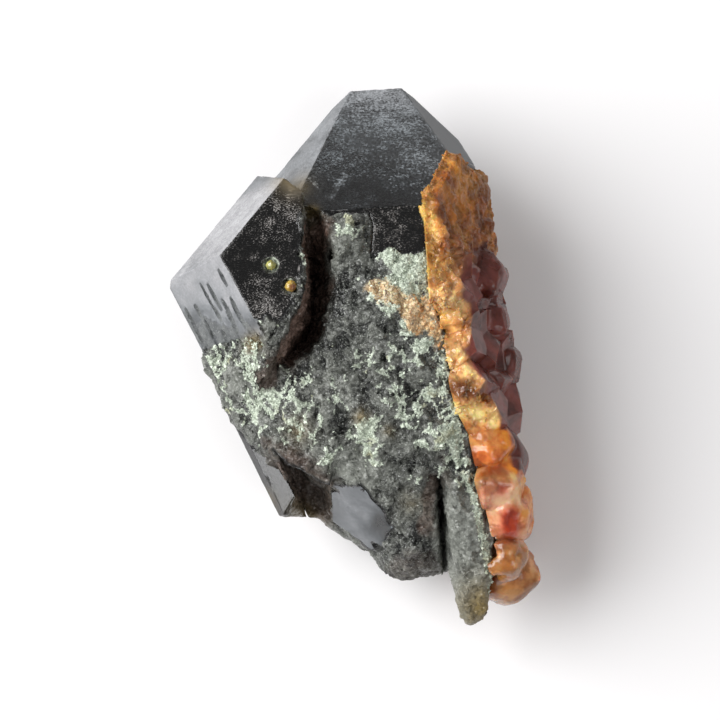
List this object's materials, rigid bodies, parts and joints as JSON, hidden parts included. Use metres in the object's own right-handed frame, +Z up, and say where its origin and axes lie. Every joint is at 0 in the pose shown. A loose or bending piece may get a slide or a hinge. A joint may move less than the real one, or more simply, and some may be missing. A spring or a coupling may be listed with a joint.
{
  "type": "mineral specimen",
  "caption": "Loose smoky quartz crystal with a flat-faced point, a parallel crystal beside it, a broken coated lower half and a crust of spessartine garnets down one side.",
  "frame": {"origin": "on the resting plane, under the middle of the specimen's outline", "axes": "+Y along the quartz crystals towards their point, +Z up from the flat back the specimen lies on, +X towards the garnet crust"},
  "size_m": [0.034, 0.0508, 0.023],
  "materials": {
    "smoky_quartz": "satin",
    "spessartine_crust": "gloss",
    "spessartine_yellow": "gloss"
  },
  "bodies": {
    "root": {"smoky_quartz": "smoky_quartz", "garnet_crust": "spessartine_crust", "upper_face_garnet": "spessartine_yellow", "lower_face_garnet": "spessartine_yellow"}
  },
  "joints": []
}
